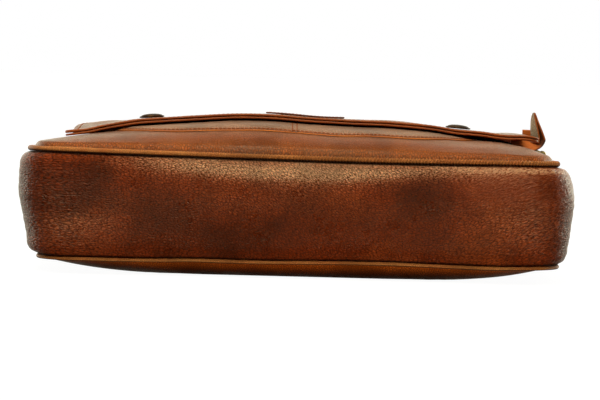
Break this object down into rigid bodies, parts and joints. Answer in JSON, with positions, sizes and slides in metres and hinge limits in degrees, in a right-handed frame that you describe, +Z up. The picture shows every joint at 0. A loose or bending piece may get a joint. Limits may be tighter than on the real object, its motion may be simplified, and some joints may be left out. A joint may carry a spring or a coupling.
{
  "type": "laptop bag",
  "caption": "Soft-sided leather laptop bag lying on its back, with a gusset, welted seams, a front pocket and zip, and a closed flap with snap fasteners.",
  "frame": {"origin": "on the floor, under the middle of the bag's box", "axes": "+X across the bag, to the right as seen from its bottom; +Y from the bag's bottom to its mouth; +Z up, out of the bag's front"},
  "size_m": [0.416, 0.3192, 0.1229],
  "materials": {
    "leather": "pebbled, semi-gloss",
    "edge_leather": "burnished edge, satin",
    "lining_leather": "smooth, satin",
    "zip_tape": "woven, matt",
    "aged_brass": "antiqued, satin",
    "bright_brass": "satin"
  },
  "bodies": {
    "root": {"back_panel": "leather", "back_welt": "edge_leather", "gusset": "leather", "front_welt": "edge_leather", "front_panel": "leather", "front_pocket": "leather", "zip_tape": "zip_tape", "zip_chain": "aged_brass", "zip_slider": "bright_brass", "zip_pull_long": "edge_leather", "zip_pull_short": "edge_leather", "flap_lining": "lining_leather", "flap": "leather", "label_patch": "leather", "snap_cap_left": "aged_brass", "snap_cap_right": "aged_brass", "snap_socket_left": "aged_brass", "snap_socket_right": "aged_brass"}
  },
  "joints": []
}
